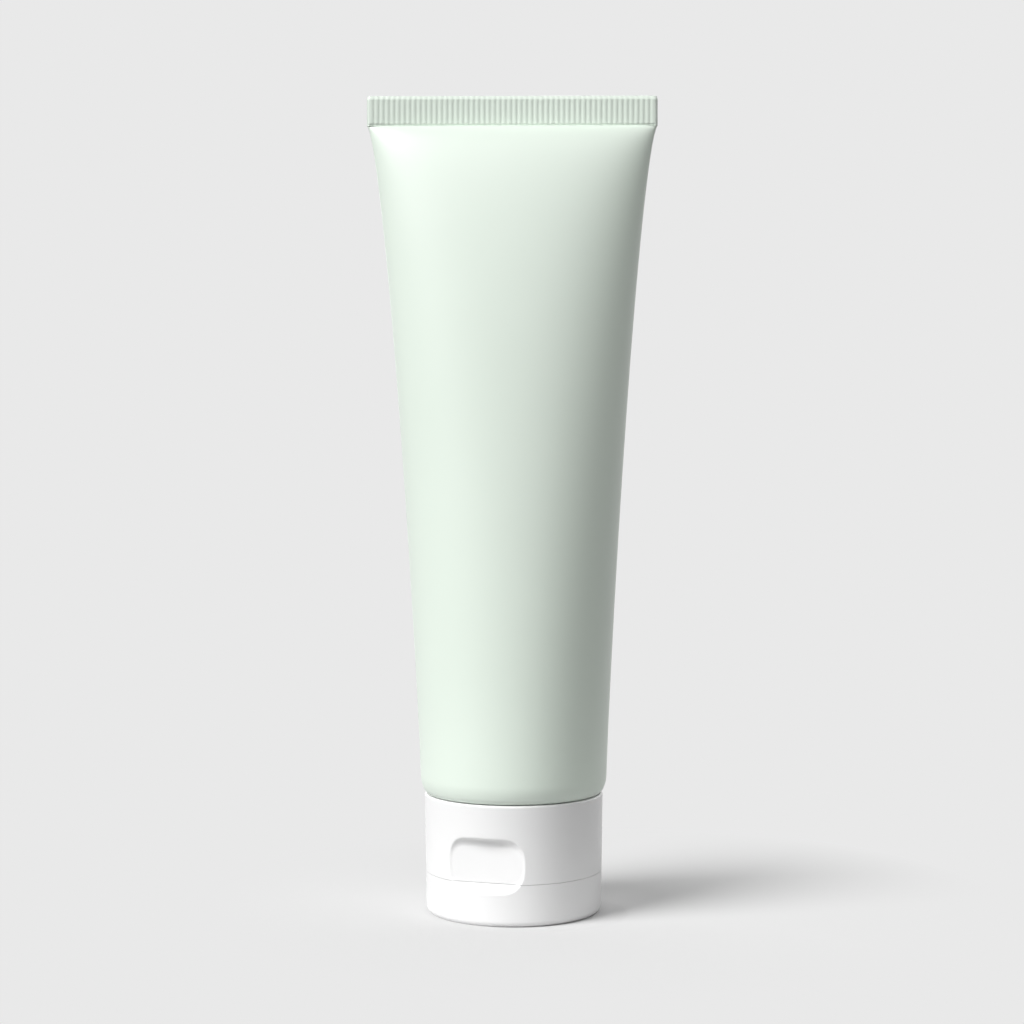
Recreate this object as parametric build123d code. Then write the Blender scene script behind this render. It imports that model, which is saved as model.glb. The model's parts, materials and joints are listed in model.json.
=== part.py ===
from build123d import *
import os
from math import hypot, pi, sqrt

os.makedirs("parts", exist_ok=True)

# Tube sleeve: a round plastic sleeve, pressed flat at its far end
tube_diameter = 40.0
sleeve_length = 148.8
sleeve_wall = 0.5
roll_height = 3.8
roll_inset = 1.1
taper_start = 1.15
taper_end = 0.418

# Crimp: the flat welded end with upright ribs on both faces
crimp_height = 5.8
crimp_thickness = 1.1
crimp_top_strip = 0.5
crimp_bottom_strip = 0.6
crimp_end_shrink = 0.45
rib_pitch = 1.13
rib_depth = 0.2
seal_depth = 1.4

# Tube head: shoulder and neck, welded into the sleeve
shoulder_thickness = 1.5
shoulder_drop = 2.5
neck_radius = 8.0
neck_wall = 1.3
bead_height = 0.5
bead_width = 1.8
bead_drop = 3.2
weld_gap = 0.05

# Cream in the tube
cream_gap = 0.15
head_space = 14.0

# Flip-top cap: outside
cap_height = 25.5
cap_overhang = 0.25
cap_draft = 0.35
cap_wall = 1.2
cap_turn = -19.3
cap_gap = 0.2
lid_height = 8.9
parting_gap = 0.08
lid_edge_radius = 1.3
base_edge_radius = 0.4

# Flip-top cap: deck, spout and seal
deck_thickness = 1.2
collar_height = 1.7
collar_clearance = 0.25
lid_plate = 1.3
spout_radius = 4.0
spout_length = 4.4
spout_tip = 1.2
orifice_radius = 2.25
plug_clearance = 0.25
plug_taper = 0.35
plug_reach = 1.5
skirt_wall = 1.2
skirt_clearance = 0.3
skirt_head_gap = 2.7

# Thumb scoop across the line between base and lid
thumb_width = 19.2
thumb_rise = 9.4
thumb_fall = 1.8
thumb_depth = 2.0
thumb_corner = 5.0
thumb_cove = 1.9
thumb_lip = 0.5

# Living hinge at the back of the cap
hinge_flat_depth = 0.8
hinge_flat_reach = 6.0
strap_margin = 0.5
strap_height = 1.6
strap_thickness = 0.4
strap_notch = 0.15
strap_clearance = 0.25

# Heights and radii that follow from these
tube_radius = tube_diameter / 2
sleeve_bottom = cap_height + cap_gap
sleeve_top = sleeve_bottom + sleeve_length
roll_top = sleeve_bottom + roll_height
roll_radius = (roll_inset**2 + roll_height**2) / (2 * roll_inset)
crimp_bottom = sleeve_top - crimp_height
base_bottom = lid_height + parting_gap
parting_height = lid_height + parting_gap / 2
deck_top = base_bottom + deck_thickness
cap_top_radius = tube_radius - roll_inset + cap_overhang


def cap_radius(height):
    return cap_top_radius - cap_draft * (cap_height - height) / cap_height


parting_radius = cap_radius(parting_height)
hinge_flat = parting_radius - hinge_flat_depth
hinge_half_width = sqrt(parting_radius**2 - hinge_flat**2)
spout_end = base_bottom - spout_length
spout_bore = spout_radius - cap_wall
plug_top = spout_end + plug_reach
shoulder_low = sleeve_bottom - shoulder_drop
skirt_top = shoulder_low - skirt_head_gap


def turned(*outline):
    return revolve(make_face(Plane.XZ * Polyline(*outline, close=True)), Axis.Z)


def box_between(low, high):
    size = [end - start for start, end in zip(low, high)]
    return Pos(*low) * Box(*size, align=(Align.MIN, Align.MIN, Align.MIN))


# Length of an ellipse's outline, by a close formula
def outline_length(half_width, half_depth):
    flatness = ((half_width - half_depth) / (half_width + half_depth)) ** 2
    return pi * (half_width + half_depth) * (1 + 3 * flatness / (10 + sqrt(4 - 3 * flatness)))


# Sleeve section: an ellipse that goes from round to flat, while its outline keeps its length
crimp_half_width = pi * tube_radius / 2 - crimp_end_shrink
crimp_half_depth = crimp_thickness / 2
flat_outline = outline_length(crimp_half_width, crimp_half_depth)


def sleeve_section(height, inset):
    share = (height - roll_top) / (crimp_bottom - roll_top)
    closing = (1 - share**taper_start) ** taper_end
    half_depth = crimp_half_depth + (tube_radius - crimp_half_depth) * closing
    outline = flat_outline + (pi * tube_diameter - flat_outline) * closing
    narrow, wide = half_depth, tube_diameter
    while wide - narrow > 1e-7:
        half_width = (narrow + wide) / 2
        if outline_length(half_width, half_depth) < outline:
            narrow = half_width
        else:
            wide = half_width
    return Pos(0, 0, height) * Ellipse(wide - inset, half_depth - inset)


# Rolled lower edge of the sleeve, as a radius at a height
def roll_point(height, inset):
    reach = sqrt((roll_radius - inset) ** 2 - (roll_top - height) ** 2)
    return tube_radius - roll_radius + reach, height


def roll_arc(low, high, inset):
    return ThreePointArc(*(roll_point(height, inset) for height in (high, (low + high) / 2, low)))


# Everything inside the sleeve's outline, moved in by an inset, from one height to another
def sleeve_body(inset, low, high):
    stations = (0, 0.12, 0.26, 0.4, 0.54, 0.66, 0.77, 0.86, 0.92, 0.96, 0.985, 1)
    tapered = loft([sleeve_section(roll_top + s * (high - roll_top), inset) for s in stations])
    core = Polyline(roll_point(low, inset), (0, low), (0, roll_top), roll_point(roll_top, inset))
    rolled = revolve(make_face(Plane.XZ * (roll_arc(low, roll_top, inset) + core)), Axis.Z)
    return tapered + rolled


# Crimped end with upright ribs
rib_count = int(2 * crimp_half_width / rib_pitch)
rib_groove = crimp_half_depth - rib_depth
front_edge = [(-crimp_half_width, rib_groove)]
for rib in range(rib_count):
    start = (rib - rib_count / 2) * rib_pitch
    rib_outline = ((0.15, rib_groove), (0.3, crimp_half_depth), (0.7, crimp_half_depth), (0.85, rib_groove))
    front_edge += [(start + share * rib_pitch, y) for share, y in rib_outline]
front_edge += [(crimp_half_width, rib_groove)]
back_edge = [(x, -y) for x, y in reversed(front_edge)]
rib_bottom = crimp_bottom + crimp_bottom_strip
rib_top = sleeve_top - crimp_top_strip
ribbed = make_face(Polyline(*front_edge, *back_edge, close=True))
crimp = Pos(0, 0, rib_bottom) * extrude(ribbed, rib_top - rib_bottom)
for low, high in ((crimp_bottom, rib_bottom), (rib_top, sleeve_top)):
    corner = (-crimp_half_width, -crimp_half_depth, low)
    crimp += box_between(corner, (crimp_half_width, crimp_half_depth, high))

# Tube sleeve
tube_sleeve = sleeve_body(0, sleeve_bottom, crimp_bottom) + crimp
tube_sleeve -= sleeve_body(sleeve_wall, sleeve_bottom, crimp_bottom - seal_depth)

# Tube head: its neck ends on the cap's deck, its rim follows the sleeve's rolled edge
neck_bore = neck_radius - neck_wall
bead_middle = skirt_top - bead_drop
shoulder_top = sleeve_bottom + shoulder_thickness
rim_inset = sleeve_wall + weld_gap
rim_top_radius = roll_point(shoulder_top, rim_inset)[0]
head_outline = Polyline(
    roll_point(sleeve_bottom, rim_inset),
    (neck_radius, shoulder_low),
    (neck_radius, bead_middle + bead_width / 2),
    (neck_radius + bead_height, bead_middle),
    (neck_radius, bead_middle - bead_width / 2),
    (neck_radius, deck_top),
    (neck_bore, deck_top),
    (neck_bore, shoulder_top - shoulder_drop),
    (rim_top_radius, shoulder_top),
)
head_profile = make_face(Plane.XZ * (roll_arc(sleeve_bottom, shoulder_top, rim_inset) + head_outline))
tube_head = revolve(head_profile, Axis.Z)

# Cream: fills the sleeve up to the air under the crimp, the neck and the spout
cream_low = shoulder_top + cream_gap
cream_fill = sleeve_body(sleeve_wall + cream_gap, cream_low, crimp_bottom - head_space)
cream_fill += turned(
    (0, plug_top + cream_gap),
    (spout_bore - cream_gap, plug_top + cream_gap),
    (spout_bore - cream_gap, deck_top + cream_gap),
    (neck_bore - cream_gap, deck_top + cream_gap),
    (neck_bore - cream_gap, cream_low - shoulder_drop),
    (rim_top_radius - cream_gap, cream_low),
    (0, cream_low),
)


# Thumb scoop: a block with rounded corners and a coved floor, grown to give the wall behind it
def thumb_scoop(grow, further_fall=0):
    fall = thumb_fall + further_fall
    middle = parting_height + (thumb_rise - fall) / 2
    floor = Plane((0, thumb_depth - parting_radius + grow, middle), (1, 0, 0), (0, -1, 0))
    size = (thumb_width + 2 * grow, thumb_rise + fall + 2 * grow)
    block = extrude(floor * RectangleRounded(*size, thumb_corner + grow), tube_radius)
    return fillet(block.faces().sort_by(Axis.Y)[-1].edges(), thumb_cove + grow)


# Rounded lip where the scoop breaks through the cap's outer face
def soften_scoop(piece):
    def on_lip(edge):
        points = [edge @ share for share in (0, 0.5, 1)]
        outside = all(abs(hypot(p.X, p.Y) - cap_radius(p.Z)) < 0.001 for p in points)
        return outside and all(p.Y < 0 and abs(p.X) < thumb_width / 2 for p in points)

    return fillet(piece.edges().filter_by(on_lip), thumb_lip)


# Flat at the hinge, grown in the same way as the scoop
def hinge_block(grow):
    reach = hinge_flat_reach + grow
    low = (-tube_radius, hinge_flat - grow, parting_height - reach)
    return box_between(low, (tube_radius, tube_diameter, parting_height + reach))


strap_half_width = hinge_half_width - strap_margin
slot_half_width = hinge_half_width + strap_clearance
strap_back = hinge_flat - strap_thickness
strap_low = parting_height - strap_height / 2
strap_high = parting_height + strap_height / 2
slot_corner = (-slot_half_width, strap_back - strap_clearance, strap_low)
strap_slot = box_between(slot_corner, (slot_half_width, tube_diameter, strap_high))
cap_cuts = thumb_scoop(0) + hinge_block(0) + strap_slot
cap_pads = thumb_scoop(cap_wall) + hinge_block(cap_wall)
pad_room = cap_wall + collar_clearance
collar_cuts = thumb_scoop(pad_room, lid_height) + hinge_block(pad_room)

# Cap base: outer skirt and deck
cap_base = turned(
    (0, base_bottom),
    (cap_radius(base_bottom), base_bottom),
    (cap_radius(cap_height), cap_height),
    (0, cap_height),
)
cap_base = fillet(cap_base.faces().sort_by(Axis.Z)[-1].edges(), base_edge_radius)
base_hollow = turned(
    (0, deck_top),
    (cap_radius(deck_top) - cap_wall, deck_top),
    (cap_radius(cap_height) - cap_wall, cap_height),
    (0, cap_height),
)
cap_base -= base_hollow - cap_pads
cap_base = soften_scoop(cap_base - cap_cuts)

# Snap skirt that grips the bead on the neck
skirt_bore = neck_radius + skirt_clearance
skirt_radius = skirt_bore + skirt_wall
groove_half = bead_width / 2 + skirt_clearance
cap_base += turned(
    (skirt_bore, deck_top),
    (skirt_bore, bead_middle - groove_half),
    (skirt_bore + bead_height, bead_middle),
    (skirt_bore, bead_middle + groove_half),
    (skirt_bore, skirt_top),
    (skirt_radius, skirt_top),
    (skirt_radius, deck_top),
)

# Collar that centres the lid, and the spout
collar_radius = cap_radius(lid_height) - cap_wall - collar_clearance
collar_bore = collar_radius - cap_wall
collar_low = base_bottom - collar_height
collar = turned(
    (collar_bore, collar_low),
    (collar_radius, collar_low),
    (collar_radius, base_bottom),
    (collar_bore, base_bottom),
)
cap_base += collar - collar_cuts
cap_base += turned((0, spout_end), (spout_radius, spout_end), (spout_radius, base_bottom), (0, base_bottom))
cap_base -= turned(
    (0, spout_end),
    (orifice_radius, spout_end),
    (orifice_radius, spout_end + spout_tip),
    (spout_bore, spout_end + spout_tip),
    (spout_bore, deck_top),
    (0, deck_top),
)

# Cap lid: shallow cup with the plug that closes the spout
cap_lid = turned((0, 0), (cap_radius(0), 0), (cap_radius(lid_height), lid_height), (0, lid_height))
cap_lid = fillet(cap_lid.faces().sort_by(Axis.Z)[0].edges(), lid_edge_radius)
lid_hollow = turned(
    (0, lid_plate),
    (cap_radius(lid_plate) - cap_wall, lid_plate),
    (cap_radius(lid_height) - cap_wall, lid_height),
    (0, lid_height),
)
cap_lid -= lid_hollow - cap_pads
cap_lid = soften_scoop(cap_lid - cap_cuts)
plug_radius = orifice_radius - plug_clearance
plug_end_radius = plug_radius - plug_taper
cap_lid += turned((0, lid_plate), (plug_radius, lid_plate), (plug_end_radius, plug_top), (0, plug_top))

# Living hinge: a thin strap with a bending notch on its inner face
strap_profile = Polyline(
    (hinge_flat, strap_low),
    (hinge_flat, strap_high),
    (strap_back, strap_high),
    (strap_back, parting_height + strap_notch),
    (strap_back + strap_notch, parting_height),
    (strap_back, parting_height - strap_notch),
    (strap_back, strap_low),
    close=True,
)
strap_plane = Plane((-strap_half_width, 0, 0), (0, 1, 0), (1, 0, 0))
hinge_strap = extrude(strap_plane * make_face(strap_profile), 2 * strap_half_width)

# The cap is snapped on with its thumb scoop a little to one side of the crimp's face
export_step(tube_sleeve, "parts/tube_sleeve.step")
export_step(tube_head, "parts/tube_head.step")
export_step(cream_fill, "parts/cream_fill.step")
export_step(Rot(0, 0, cap_turn) * cap_base, "parts/cap_base.step")
export_step(Rot(0, 0, cap_turn) * cap_lid, "parts/cap_lid.step")
export_step(Rot(0, 0, cap_turn) * hinge_strap, "parts/hinge_strap.step")
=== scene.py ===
import json
from math import cos, pi, radians, sin, sqrt

import bpy
import numpy as np
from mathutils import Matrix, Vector


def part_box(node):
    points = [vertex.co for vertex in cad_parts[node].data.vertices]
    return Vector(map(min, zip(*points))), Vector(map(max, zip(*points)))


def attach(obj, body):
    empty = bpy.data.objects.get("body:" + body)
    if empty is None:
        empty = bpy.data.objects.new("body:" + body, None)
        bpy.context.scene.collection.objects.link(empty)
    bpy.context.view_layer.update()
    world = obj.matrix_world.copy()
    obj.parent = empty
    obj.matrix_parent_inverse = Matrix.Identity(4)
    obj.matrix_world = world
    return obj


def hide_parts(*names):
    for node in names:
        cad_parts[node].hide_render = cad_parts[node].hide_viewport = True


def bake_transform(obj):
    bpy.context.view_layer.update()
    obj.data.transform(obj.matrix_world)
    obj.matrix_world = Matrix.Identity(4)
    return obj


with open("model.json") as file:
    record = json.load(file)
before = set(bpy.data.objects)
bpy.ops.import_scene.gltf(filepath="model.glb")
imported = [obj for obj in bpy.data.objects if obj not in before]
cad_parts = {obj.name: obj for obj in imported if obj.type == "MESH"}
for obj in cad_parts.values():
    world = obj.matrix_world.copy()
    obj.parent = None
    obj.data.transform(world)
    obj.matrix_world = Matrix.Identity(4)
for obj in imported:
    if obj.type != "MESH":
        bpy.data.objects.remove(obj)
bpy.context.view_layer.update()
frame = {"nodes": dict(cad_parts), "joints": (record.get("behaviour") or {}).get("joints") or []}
mm = 0.001


# Tube sleeve: a thin extruded sleeve of soft pale green polyethylene, welded to the head at its round
# lower edge, which is rolled in. Its far end is pressed flat between hot jaws, which leave upright ribs.
# The sleeve can't stretch, so its outline keeps its length from round to flat.
sleeve_low, sleeve_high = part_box("tube_sleeve")
tube_radius = sleeve_high.y
sleeve_bottom, sleeve_top = sleeve_low.z, sleeve_high.z
sleeve_wall = 0.5 * mm
roll_height = 3.8 * mm
roll_inset = 1.1 * mm
roll_radius = (roll_inset**2 + roll_height**2) / (2 * roll_inset)
roll_top = sleeve_bottom + roll_height
taper_start = 1.15
taper_end = 0.418
crimp_half_width = sleeve_high.x
crimp_half_depth = 0.55 * mm
crimp_bottom = sleeve_top - 6.35 * mm
seal_depth = 1.4 * mm
rib_pitch = 1.13 * mm
rib_depth = 0.075 * mm
rib_count = int(2 * crimp_half_width / rib_pitch)
# Places along a rib's pitch, and how far the rib has risen there
rib_outline = ((0, 0), (0.15, 0.12), (0.22, 0.5), (0.29, 0.88),
               (0.5, 1), (0.71, 0.88), (0.78, 0.5), (0.85, 0.12))
body_rows = 54
inner_rows = 12
roll_rows = 9


# Length of an ellipse's outline, by a close formula
def outline_length(half_width, half_depth):
    flatness = ((half_width - half_depth) / (half_width + half_depth)) ** 2
    return pi * (half_width + half_depth) * (1 + 3 * flatness / (10 + sqrt(4 - 3 * flatness)))


# Half width and half depth of the sleeve at a height
flat_outline = outline_length(crimp_half_width, crimp_half_depth)


def sleeve_section(height):
    share = (height - roll_top) / (crimp_bottom - roll_top)
    closing = (1 - share**taper_start) ** taper_end
    half_depth = crimp_half_depth + (tube_radius - crimp_half_depth) * closing
    outline = flat_outline + (2 * pi * tube_radius - flat_outline) * closing
    narrow, wide = half_depth, 2 * tube_radius
    for step in range(50):
        half_width = (narrow + wide) / 2
        if outline_length(half_width, half_depth) < outline:
            narrow = half_width
        else:
            wide = half_width
    return half_width, half_depth


# The mesh has a column of points at each of these shares of the way from the middle to the sleeve's edge,
# and a rib stands out there by its rise
column_shares, column_rises = [-1], [0]
for rib in range(rib_count):
    for place, rise in rib_outline:
        column_shares.append((rib + place - rib_count / 2) * rib_pitch / crimp_half_width)
        column_rises.append(rise)
column_shares = np.array(column_shares + [rib_count / 2 * rib_pitch / crimp_half_width, 1])
column_rises = np.array(column_rises + [0, 0])
quarter_turn = np.linspace(0, pi / 2, 400)
sleeve_points = []


def add_ring(x, y, height):
    outline = np.concatenate((np.stack((x, -y), 1), np.stack((x, y), 1)[-2:0:-1]))
    sleeve_points.extend((*point, height) for point in outline.tolist())


def add_oval_ring(half_width, half_depth, height, inset=0):
    steps = np.hypot(np.diff(half_width * np.sin(quarter_turn)), np.diff(half_depth * np.cos(quarter_turn)))
    lengths = np.concatenate(([0], np.cumsum(steps)))
    turns = np.interp(abs(column_shares), lengths / lengths[-1], quarter_turn)
    x = np.sign(column_shares) * (half_width - inset) * np.sin(turns)
    add_ring(x, (half_depth - inset) * np.cos(turns), height)


def add_crimp_ring(height, rib_share, sink, trim):
    half_width, half_depth = crimp_half_width - trim, crimp_half_depth - trim
    x = column_shares * half_width
    past_flat = np.clip(abs(x) - half_width + half_depth, 0, half_depth)
    pressed = np.clip(2 * (half_width - abs(x)) / rib_pitch - 0.5, 0, 1)
    pressed = pressed * (rib_depth * rib_share * (1 - column_rises) + sink)
    add_ring(x, np.sqrt(half_depth**2 - past_flat**2) - pressed, height)


def roll_reach(height, inset):
    return tube_radius - roll_radius + sqrt((roll_radius - inset) ** 2 - (roll_top - height) ** 2)


# Inside of the wall from the seal down, round the lip, up the rolled edge and the body
seal = crimp_bottom - seal_depth
for row in range(inner_rows):
    share = (1 - row / inner_rows) ** 0.5
    height = roll_top + (seal - roll_top) * share
    add_oval_ring(*sleeve_section(height), height, sleeve_wall)
for row in range(roll_rows):
    height = roll_top - roll_height * row / roll_rows
    reach = roll_reach(height, sleeve_wall)
    add_oval_ring(reach, reach, height)
lip_middle = roll_reach(sleeve_bottom, sleeve_wall / 2)
for row in range(5):
    turn = pi * row / 4
    reach = lip_middle - sleeve_wall / 2 * cos(turn)
    add_oval_ring(reach, reach, sleeve_bottom + sleeve_wall / 2 * (1 - sin(turn)))
for row in range(1, roll_rows):
    height = sleeve_bottom + sleeve_wall / 2 + (roll_height - sleeve_wall / 2) * row / roll_rows
    reach = roll_reach(height, 0)
    add_oval_ring(reach, reach, height)
for row in range(body_rows):
    share = 1 - (1 - row / body_rows) ** 2
    height = roll_top + (crimp_bottom - roll_top) * share
    add_oval_ring(*sleeve_section(height), height)

# Crimp: a pressed line under the ribs, the ribs, and a strip that thins towards the top edge. A row has its
# height above the crimp's lower edge, its share of the ribs' depth, how far it is sunk and how far trimmed
crimp_rows = [(0, 0, 0, 0), (0.05, 0, 0.25, 0), (0.2, 0, 0.25, 0), (0.45, 0.7, 0, 0)]
crimp_rows += [(0.65 + 0.95 * row, 1, 0, 0) for row in range(6)]
crimp_rows += [(5.6, 0.6, 0, 0), (5.75, 0.5, 0, 0.04), (6.05, 0.5, 0, 0.14)]
crimp_rows += [(6.23, 0.5, 0, 0.2), (6.32, 0.4, 0, 0.24), (6.35, 0.3, 0, 0.3)]
for rise, rib_share, sink, trim in crimp_rows:
    add_crimp_ring(crimp_bottom + rise * mm, rib_share, sink * mm, trim * mm)

# The rings are joined in order, and the first and the last are closed by strips from front to back
ring_size = 2 * len(column_shares) - 2
ring_total = len(sleeve_points) // ring_size
sleeve_faces = []
for ring in range(ring_total - 1):
    for column in range(ring_size):
        after = (column + 1) % ring_size
        low, high = ring * ring_size, (ring + 1) * ring_size
        sleeve_faces.append((low + column, low + after, high + after, high + column))
top = (ring_total - 1) * ring_size
for column in range(ring_size // 2):
    front, back = column, (ring_size - column) % ring_size
    next_front, next_back = column + 1, ring_size - column - 1
    upper = [top + front, top + next_front, top + next_back, top + back]
    lower = [back, next_back, next_front, front]
    sleeve_faces.append(tuple(dict.fromkeys(upper)))
    sleeve_faces.append(tuple(dict.fromkeys(lower)))


def mesh_piece(name, points, faces):
    mesh = bpy.data.meshes.new(name)
    mesh.from_pydata(points, [], faces)
    mesh.validate()
    mesh.shade_smooth()
    piece = bpy.data.objects.new(name, mesh)
    bpy.context.scene.collection.objects.link(piece)
    return piece


# Satin moulded or extruded plastic: a slight change of tone, of gloss and of surface level over the piece
def satin_plastic(name, tones, gloss, specular, tone_size, grain_size, grain_depth):
    material = bpy.data.materials.new(name)
    material.use_nodes = True
    nodes, links = material.node_tree.nodes, material.node_tree.links
    shader = nodes["Principled BSDF"]
    shader.inputs["Specular IOR Level"].default_value = specular
    place = nodes.new("ShaderNodeTexCoord")

    cloud = nodes.new("ShaderNodeTexNoise")
    cloud.inputs["Scale"].default_value = 1 / tone_size
    cloud.inputs["Detail"].default_value = 3
    links.new(place.outputs["Object"], cloud.inputs["Vector"])
    tone = nodes.new("ShaderNodeValToRGB")
    tone.color_ramp.elements[0].position = 0.3
    tone.color_ramp.elements[1].position = 0.7
    for element, colour in zip(tone.color_ramp.elements, tones):
        element.color = (*colour, 1)
    links.new(cloud.outputs["Fac"], tone.inputs["Fac"])
    links.new(tone.outputs["Color"], shader.inputs["Base Color"])

    shine = nodes.new("ShaderNodeMapRange")
    shine.inputs["To Min"].default_value = gloss[0]
    shine.inputs["To Max"].default_value = gloss[1]
    links.new(cloud.outputs["Fac"], shine.inputs["Value"])
    links.new(shine.outputs["Result"], shader.inputs["Roughness"])

    grain = nodes.new("ShaderNodeTexNoise")
    grain.inputs["Scale"].default_value = 1 / grain_size
    grain.inputs["Detail"].default_value = 2
    links.new(place.outputs["Object"], grain.inputs["Vector"])
    bump = nodes.new("ShaderNodeBump")
    bump.inputs["Strength"].default_value = 0.5
    bump.inputs["Distance"].default_value = grain_depth
    links.new(grain.outputs["Fac"], bump.inputs["Height"])
    links.new(bump.outputs["Normal"], shader.inputs["Normal"])
    return material


sleeve_plastic = satin_plastic(
    "sleeve_plastic", ((0.742, 0.829, 0.744), (0.762, 0.849, 0.764)), (0.36, 0.44), 0.8,
    tone_size=40 * mm, grain_size=0.35 * mm, grain_depth=0.004 * mm)
sleeve = mesh_piece("pressed_sleeve", sleeve_points, sleeve_faces)
sleeve.data.materials.append(sleeve_plastic)
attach(sleeve, "tube")
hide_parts("tube_sleeve")


# A piece that keeps its solid and gets its finish here
def finish_node(node, material):
    piece = frame["nodes"][node]
    piece.data.materials.clear()
    piece.data.materials.append(material)


# Tube head: an injection moulded polyethylene shoulder and neck, welded into the sleeve's rolled edge.
# It is left in its natural milky colour, and the cap hides it.
head_plastic = satin_plastic(
    "head_plastic", ((0.84, 0.86, 0.84), (0.88, 0.9, 0.88)), (0.45, 0.55), 0.5,
    tone_size=15 * mm, grain_size=0.3 * mm, grain_depth=0.005 * mm)
finish_node("tube_head", head_plastic)


# Cream: a smooth off-white emulsion that fills the tube from the spout to the air under the crimp.
cream = satin_plastic(
    "cream", ((0.86, 0.84, 0.77), (0.91, 0.89, 0.83)), (0.2, 0.32), 0.5,
    tone_size=9 * mm, grain_size=2.5 * mm, grain_depth=0.05 * mm)
finish_node("cream_fill", cream)


# Cap base: white injection moulded polypropylene, snapped over the bead on the neck.
# Its outer face is satin from the mould, with a scoop for the thumb at the front.
cap_plastic = satin_plastic(
    "cap_plastic", ((0.81, 0.81, 0.81), (0.83, 0.83, 0.83)), (0.32, 0.42), 0.9,
    tone_size=20 * mm, grain_size=0.25 * mm, grain_depth=0.003 * mm)
finish_node("cap_base", cap_plastic)


# Cap lid: moulded in one shot with the base, with a plug that closes the spout.
# The tube stands on its flat top.
finish_node("cap_lid", cap_plastic)


# Living hinge: a thin strap of the cap's own polypropylene, left between base and lid in the mould.
# A notch along its inner face makes it bend in one line.
hinge = frame["joints"][0]
hinge_middle = Vector(hinge["pos_m"])
hinge_along = Vector(hinge["axis"]).normalized()
hinge_out = hinge_along.cross(Vector((0, 0, -1)))
strap_half_width = 4.92 * mm
strap_half_height = 0.8 * mm
strap_thickness = 0.4 * mm
strap_notch = 0.15 * mm
strap_rows = 33
strap_edge = 0.06 * mm

strap_points = []
for row in range(strap_rows):
    height = strap_half_height * (2 * row / (strap_rows - 1) - 1)
    notch = max(strap_notch - abs(height), 0)
    inner = notch - strap_thickness
    corners = ((0, strap_edge), (-strap_edge, 0), (inner + strap_edge, 0), (inner, strap_edge))
    outline = [(strap_half_width - trim, depth) for depth, trim in corners]
    outline += [(trim - strap_half_width, depth) for depth, trim in corners[::-1]]
    for across, depth in outline:
        point = hinge_middle + hinge_along * across + hinge_out * depth
        strap_points.append(point + Vector((0, 0, height)))
strap_ring = 8
strap_faces = [tuple(range(strap_ring))[::-1]]
for row in range(strap_rows - 1):
    for corner in range(strap_ring):
        after = (corner + 1) % strap_ring
        low, high = row * strap_ring, (row + 1) * strap_ring
        strap_faces.append((low + corner, low + after, high + after, high + corner))
strap_faces.append(tuple(range((strap_rows - 1) * strap_ring, strap_rows * strap_ring)))
strap = mesh_piece("living_hinge", strap_points, strap_faces)
strap.data.set_sharp_from_angle(angle=radians(30))
strap.data.materials.append(cap_plastic)
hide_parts("hinge_strap")
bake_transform(strap)


# Studio: a plain pale floor that runs into a background of the same tone, a strong soft lamp at the left,
# a weaker one at the right of the camera and two weak ones behind. The floor throws light back up from near
# the tube, and the tube's shadow fades out a hand's breadth away.
background = 0.815
open_floor_light = 1.2
floor_bounce = 0.62
shadow_share = 0.92
floor_size = 40

floor_mesh = bpy.data.meshes.new("floor")
floor_corners = [(-1, -1), (1, -1), (1, 1), (-1, 1)]
floor_mesh.from_pydata([(x * floor_size, y * floor_size, 0) for x, y in floor_corners], [], [(0, 1, 2, 3)])
floor = bpy.data.objects.new("floor", floor_mesh)
bpy.context.scene.collection.objects.link(floor)
floor_paint = bpy.data.materials.new("floor_paint")
floor_paint.use_nodes = True
nodes, links = floor_paint.node_tree.nodes, floor_paint.node_tree.links
nodes.clear()
place = nodes.new("ShaderNodeTexCoord")


# A value that runs down to nothing from one distance to another, measured from a spot on the floor
def fading(spot, near, far, strength):
    distance = nodes.new("ShaderNodeVectorMath")
    distance.operation = "DISTANCE"
    distance.inputs[1].default_value = spot
    links.new(place.outputs["Object"], distance.inputs[0])
    fade = nodes.new("ShaderNodeMapRange")
    fade.inputs["From Min"].default_value = near
    fade.inputs["From Max"].default_value = far
    fade.inputs["To Min"].default_value = strength
    fade.inputs["To Max"].default_value = 0
    links.new(distance.outputs["Value"], fade.inputs["Value"])
    return fade.outputs["Result"]


shaded = nodes.new("ShaderNodeBsdfDiffuse")
shaded.inputs["Color"].default_value = [background / open_floor_light] * 3 + [1]
even = nodes.new("ShaderNodeEmission")
even.inputs["Color"].default_value = [background] * 3 + [1]
shade = nodes.new("ShaderNodeMath")
shade.operation = "MAXIMUM"
links.new(fading((20 * mm, 10 * mm, 0), 12 * mm, 88 * mm, shadow_share), shade.inputs[0])
links.new(fading((7 * mm, -4 * mm, 0), 17 * mm, 22 * mm, 1), shade.inputs[1])
shown = nodes.new("ShaderNodeMixShader")
links.new(shade.outputs["Value"], shown.inputs["Fac"])
links.new(even.outputs["Emission"], shown.inputs[1])
links.new(shaded.outputs["BSDF"], shown.inputs[2])
bounced = nodes.new("ShaderNodeBsdfDiffuse")
links.new(fading((0, 0, 0), 48 * mm, 90 * mm, floor_bounce), bounced.inputs["Color"])
seen = nodes.new("ShaderNodeLightPath")
paint = nodes.new("ShaderNodeMixShader")
links.new(seen.outputs["Is Diffuse Ray"], paint.inputs["Fac"])
links.new(shown.outputs["Shader"], paint.inputs[1])
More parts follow.
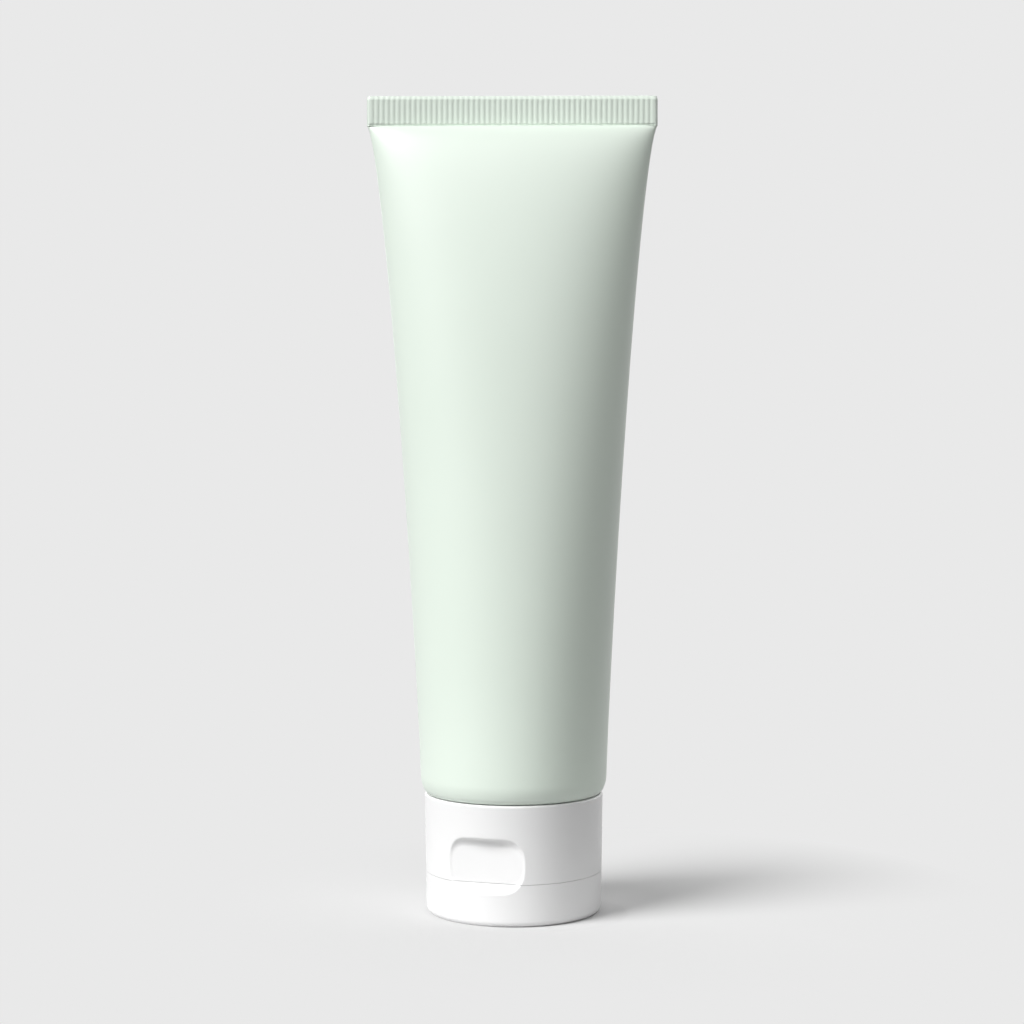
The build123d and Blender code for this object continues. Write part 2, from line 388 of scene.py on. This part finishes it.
links.new(bounced.outputs["BSDF"], paint.inputs[2])
output = nodes.new("ShaderNodeOutputMaterial")
links.new(paint.outputs["Shader"], output.inputs["Surface"])
floor_mesh.materials.append(floor_paint)


# A lamp far off, by its turn to the left of the camera's side, its height above the floor and its width
def soft_lamp(name, left, height, width, strength):
    light = bpy.data.lights.new(name, "SUN")
    light.energy = strength
    light.angle = radians(width)
    lamp = bpy.data.objects.new(name, light)
    lamp.rotation_euler = (radians(90 - height), 0, -radians(left))
    bpy.context.scene.collection.objects.link(lamp)


soft_lamp("left_lamp", left=56, height=40, width=32, strength=3.65)
soft_lamp("right_lamp", left=-12, height=37, width=45, strength=0.72)
soft_lamp("back_right_lamp", left=-135, height=35, width=60, strength=0.9)
soft_lamp("back_left_lamp", left=165, height=30, width=60, strength=0.8)

world = bpy.data.worlds.new("studio")
bpy.context.scene.world = world
world.use_nodes = True
nodes, links = world.node_tree.nodes, world.node_tree.links
nodes.clear()
dim_room = nodes.new("ShaderNodeBackground")
dim_room.inputs["Color"].default_value = (1, 1, 1, 1)
dim_room.inputs["Strength"].default_value = 0.01
backdrop = nodes.new("ShaderNodeBackground")
backdrop.inputs["Color"].default_value = [background] * 3 + [1]
seen = nodes.new("ShaderNodeLightPath")
room = nodes.new("ShaderNodeMixShader")
links.new(seen.outputs["Is Diffuse Ray"], room.inputs["Fac"])
links.new(backdrop.outputs["Background"], room.inputs[1])
links.new(dim_room.outputs["Background"], room.inputs[2])
output = nodes.new("ShaderNodeOutputWorld")
links.new(room.outputs["Shader"], output.inputs["Surface"])

bpy.context.scene.view_settings.view_transform = "Standard"


# Camera: a little above the middle of the tube, tipped slightly down.
camera_data = bpy.data.cameras.new("camera")
camera_data.sensor_width = 36
camera_data.lens = 80.6
camera = bpy.data.objects.new("camera", camera_data)
camera.location = (-0.2 * mm, -491.5 * mm, 106 * mm)
camera.rotation_euler = (radians(90 - 2.35), radians(0.12), 0)
bpy.context.scene.collection.objects.link(camera)
bpy.context.scene.camera = camera
